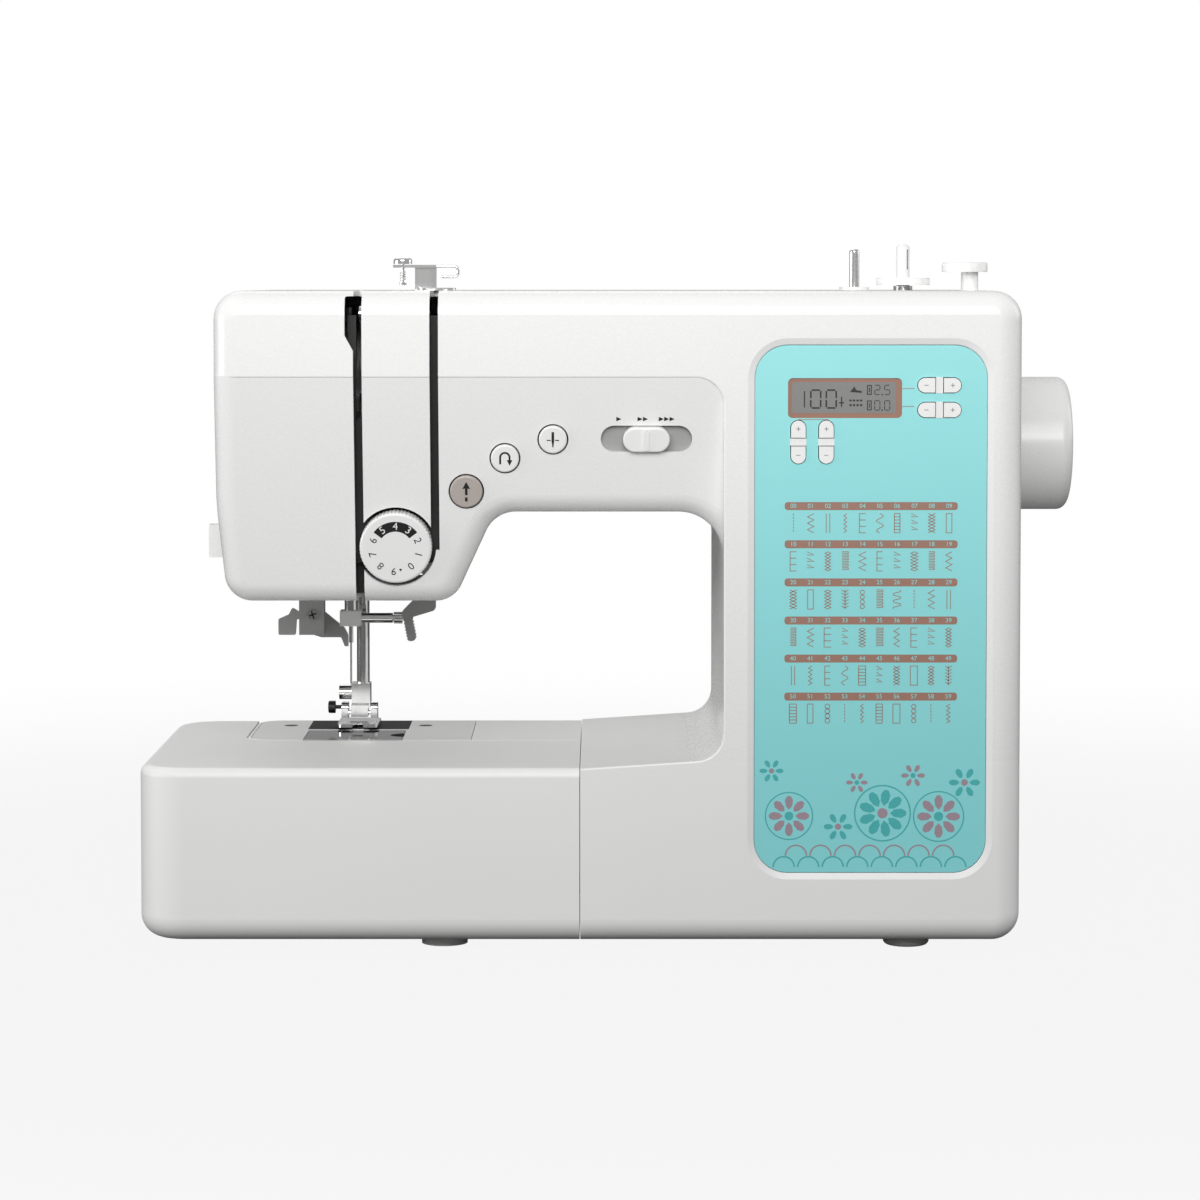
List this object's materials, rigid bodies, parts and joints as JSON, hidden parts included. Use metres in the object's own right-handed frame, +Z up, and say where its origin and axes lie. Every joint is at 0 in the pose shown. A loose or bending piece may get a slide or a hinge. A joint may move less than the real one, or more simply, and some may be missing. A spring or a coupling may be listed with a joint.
{
  "type": "sewing machine",
  "caption": "Free-arm household sewing machine with a removable flat bed, computer panel, tension dial, presser foot, rotary hook, handwheel and bobbin winder.",
  "frame": {"origin": "centre of the footprint on the table the machine stands on", "axes": "+X along the arm towards the handwheel, +Y from the operator's side to the back, +Z up"},
  "size_m": [0.415, 0.178, 0.3044],
  "materials": {
    "white_gloss": "gloss",
    "white_satin": "satin",
    "white_button": "satin",
    "taupe_button": "satin",
    "teal_panel": "printed satin film",
    "copper_display": "gloss window",
    "grey_plastic": "matte",
    "black_plastic": "matte",
    "clear_smoke": "clear smoke plastic",
    "chrome": "polished",
    "steel": "brushed",
    "cast_frame": "as cast",
    "rubber": "matte",
    "board_green": "solder mask"
  },
  "bodies": {
    "machine": {"front_cover": "white_gloss", "rear_cover": "white_gloss", "free_arm_cover": "white_gloss", "base_plate": "white_satin", "main_frame": "cast_frame", "shaft_bushings": "steel", "feet": "rubber", "case_screws": "steel", "needle_plate": "steel", "bobbin_case": "black_plastic", "motor": "steel", "motor_belt": "rubber", "timing_belt": "rubber", "presser_spring": "steel", "thread_channel": "black_plastic", "tension_discs": "chrome", "control_panel": "teal_panel", "lcd_window": "copper_display", "control_board": "board_green", "top_thread_guide": "chrome", "bobbin_winder_stop": "white_button", "power_sockets": "black_plastic"},
    "lower_shaft": {"lower_shaft": "steel"},
    "needle_bar_frame": {"needle_bar_frame": "steel"},
    "take_up_lever": {"take_up_lever": "chrome"},
    "presser_foot": {"presser_foot": "chrome"},
    "foot_lock_button": {"foot_lock_button": "black_plastic"},
    "presser_lifter": {"presser_lifter": "grey_plastic"},
    "tension_dial": {"tension_dial": "white_button"},
    "needle_threader": {"needle_threader": "grey_plastic"},
    "start_stop_button": {"start_stop_button": "taupe_button"},
    "reverse_button": {"reverse_button": "white_button"},
    "needle_position_button": {"needle_position_button": "white_button"},
    "speed_slider": {"speed_slider": "white_button"},
    "width_key": {"width_key": "white_button"},
    "length_key": {"length_key": "white_button"},
    "tens_key": {"tens_key": "white_button"},
    "units_key": {"units_key": "white_button"},
    "spool_pin": {"spool_pin": "chrome"},
    "bobbin_winder_arm": {"bobbin_winder_arm": "steel"},
    "bobbin_winder": {"bobbin_winder": "white_button"},
    "power_switch": {"power_switch": "black_plastic"},
    "flat_bed_attachment": {"flat_bed_attachment": "white_gloss"},
    "bobbin_cover": {"bobbin_cover": "clear_smoke"},
    "feed_dog": {"feed_dog": "steel"},
    "bobbin": {"bobbin": "white_satin"},
    "upper_shaft": {"upper_shaft": "steel", "handwheel": "white_gloss", "drive_pulley": "grey_plastic", "needle_bar_crank": "steel"},
    "motor_shaft": {"motor_pulley": "steel"},
    "hook": {"rotary_hook": "steel"},
    "needle_bar": {"needle_bar": "chrome", "needle_clamp": "chrome", "needle_clamp_screw": "chrome", "needle": "chrome", "needle_bar_link": "steel"},
    "presser_bar": {"presser_bar": "chrome", "presser_foot_holder": "chrome", "holder_screw": "chrome"}
  },
  "joints": [
    {"name": "upper_shaft_turn", "type": "hinge", "parent": "machine", "child": "upper_shaft", "pos_m": [0, 0.049, 0.213], "axis": [1, 0, 0], "continuous": true},
    {"name": "motor_turn", "type": "hinge", "parent": "machine", "child": "motor_shaft", "pos_m": [0, 0.005, 0.12], "axis": [1, 0, 0], "continuous": true},
    {"name": "lower_shaft_turn", "type": "hinge", "parent": "machine", "child": "lower_shaft", "pos_m": [0, 0.049, 0.038], "axis": [1, 0, 0], "continuous": true},
    {"name": "hook_turn", "type": "hinge", "parent": "machine", "child": "hook", "pos_m": [-0.1212, 0.0285, 0], "axis": [0, 0, 1], "continuous": true},
    {"name": "bobbin_turn", "type": "hinge", "parent": "machine", "child": "bobbin", "pos_m": [-0.1212, 0.0285, 0], "axis": [0, 0, 1], "continuous": true},
    {"name": "needle_swing", "type": "hinge", "parent": "machine", "child": "needle_bar_frame", "pos_m": [-0.1247, 0.049, 0.262], "axis": [0, 1, 0], "range_deg": [-2, 0]},
    {"name": "needle_bar_slide", "type": "slide", "parent": "needle_bar_frame", "child": "needle_bar", "axis": [0, 0, 1], "range_m": [-0.03, 0]},
    {"name": "take_up_swing", "type": "hinge", "parent": "machine", "child": "take_up_lever", "pos_m": [-0.112, 0.02, 0.246], "axis": [1, 0, 0], "range_deg": [0, 25]},
    {"name": "presser_lifter_turn", "type": "hinge", "parent": "machine", "child": "presser_lifter", "pos_m": [-0.084, 0.063, 0.165], "axis": [0, -1, 0], "range_deg": [0, 65]},
    {"name": "presser_bar_slide", "type": "slide", "parent": "machine", "child": "presser_bar", "axis": [0, 0, 1], "range_m": [0, 0.006], "deforming": ["presser_spring"]},
    {"name": "presser_foot_tilt", "type": "hinge", "parent": "presser_bar", "child": "presser_foot", "pos_m": [-0.1212, 0.056, 0.0865], "axis": [1, 0, 0], "range_deg": [-3, 3]},
    {"name": "foot_lock_press", "type": "slide", "parent": "presser_foot", "child": "foot_lock_button", "axis": [1, 0, 0], "range_m": [0, 0.0015], "stiffness_N_per_m": 300, "springref_m": -0.001},
    {"name": "tension_dial_turn", "type": "hinge", "parent": "machine", "child": "tension_dial", "pos_m": [-0.0964, -0.07707, 0.1742], "axis": [0, -0.9877, -0.1564], "range_deg": [-175, 140]},
    {"name": "start_stop_button_press", "type": "slide", "parent": "machine", "child": "start_stop_button", "axis": [0, 0.9877, 0.1564], "range_m": [0, 0.0015], "stiffness_N_per_m": 400, "springref_m": -0.001},
    {"name": "reverse_button_press", "type": "slide", "parent": "machine", "child": "reverse_button", "axis": [0, 0.9877, 0.1564], "range_m": [0, 0.0015], "stiffness_N_per_m": 400, "springref_m": -0.001},
    {"name": "needle_position_button_press", "type": "slide", "parent": "machine", "child": "needle_position_button", "axis": [0, 0.9877, 0.1564], "range_m": [0, 0.0015], "stiffness_N_per_m": 400, "springref_m": -0.001},
    {"name": "speed_slide", "type": "slide", "parent": "machine", "child": "speed_slider", "axis": [1, 0, 0], "range_m": [-0.0085, 0.0085]},
    {"name": "width_key_rock", "type": "hinge", "parent": "machine", "child": "width_key", "pos_m": [0.1356, -0.0824, 0.2439], "axis": [0, 0, 1], "range_deg": [-3, 3], "stiffness_Nm_per_rad": 0.2},
    {"name": "length_key_rock", "type": "hinge", "parent": "machine", "child": "length_key", "pos_m": [0.1356, -0.0824, 0.2334], "axis": [0, 0, 1], "range_deg": [-3, 3], "stiffness_Nm_per_rad": 0.2},
    {"name": "tens_key_rock", "type": "hinge", "parent": "machine", "child": "tens_key", "pos_m": [0.0756, -0.0824, 0.2197], "axis": [1, 0, 0], "range_deg": [-3, 3], "stiffness_Nm_per_rad": 0.2},
    {"name": "units_key_rock", "type": "hinge", "parent": "machine", "child": "units_key", "pos_m": [0.0875, -0.0824, 0.2197], "axis": [1, 0, 0], "range_deg": [-3, 3], "stiffness_Nm_per_rad": 0.2},
    {"name": "spool_pin_pull", "type": "slide", "parent": "machine", "child": "spool_pin", "axis": [0, 0, 1], "range_m": [0, 0.03]},
    {"name": "winder_swing", "type": "hinge", "parent": "machine", "child": "bobbin_winder_arm", "pos_m": [0.1261, -0.055, 0.284], "axis": [0, 0, 1], "range_deg": [-8, 0]},
    {"name": "winder_turn", "type": "hinge", "parent": "bobbin_winder_arm", "child": "bobbin_winder", "pos_m": [0.1261, -0.015, 0.284], "axis": [0, 0, 1], "continuous": true},
    {"name": "power_switch_rock", "type": "hinge", "parent": "machine", "child": "power_switch", "pos_m": [0.1665, 0.042, 0.073], "axis": [0, 1, 0], "range_deg": [-16, 0]},
    {"name": "flat_bed_pull", "type": "slide", "parent": "machine", "child": "flat_bed_attachment", "axis": [-1, 0, 0], "range_m": [0, 0.2]},
    {"name": "bobbin_cover_lift", "type": "slide", "parent": "machine", "child": "bobbin_cover", "axis": [0, 0, 1], "range_m": [0, 0.025]},
    {"name": "feed_slide", "type": "slide", "parent": "machine", "child": "feed_dog", "axis": [0, 1, 0], "range_m": [-0.0025, 0.0025]},
    {"name": "threader_press", "type": "slide", "parent": "machine", "child": "needle_threader", "axis": [0, 0, 1], "range_m": [-0.017, 0], "stiffness_N_per_m": 40, "springref_m": 0.012}
  ],
  "couplings": [
    {"joint": "motor_turn", "follows": "upper_shaft_turn", "ratio": 3},
    {"joint": "lower_shaft_turn", "follows": "upper_shaft_turn", "ratio": 1},
    {"joint": "hook_turn", "follows": "upper_shaft_turn", "ratio": 2},
    {"joint": "presser_lifter_turn", "follows": "presser_bar_slide", "rad_per_m": 189}
  ]
}
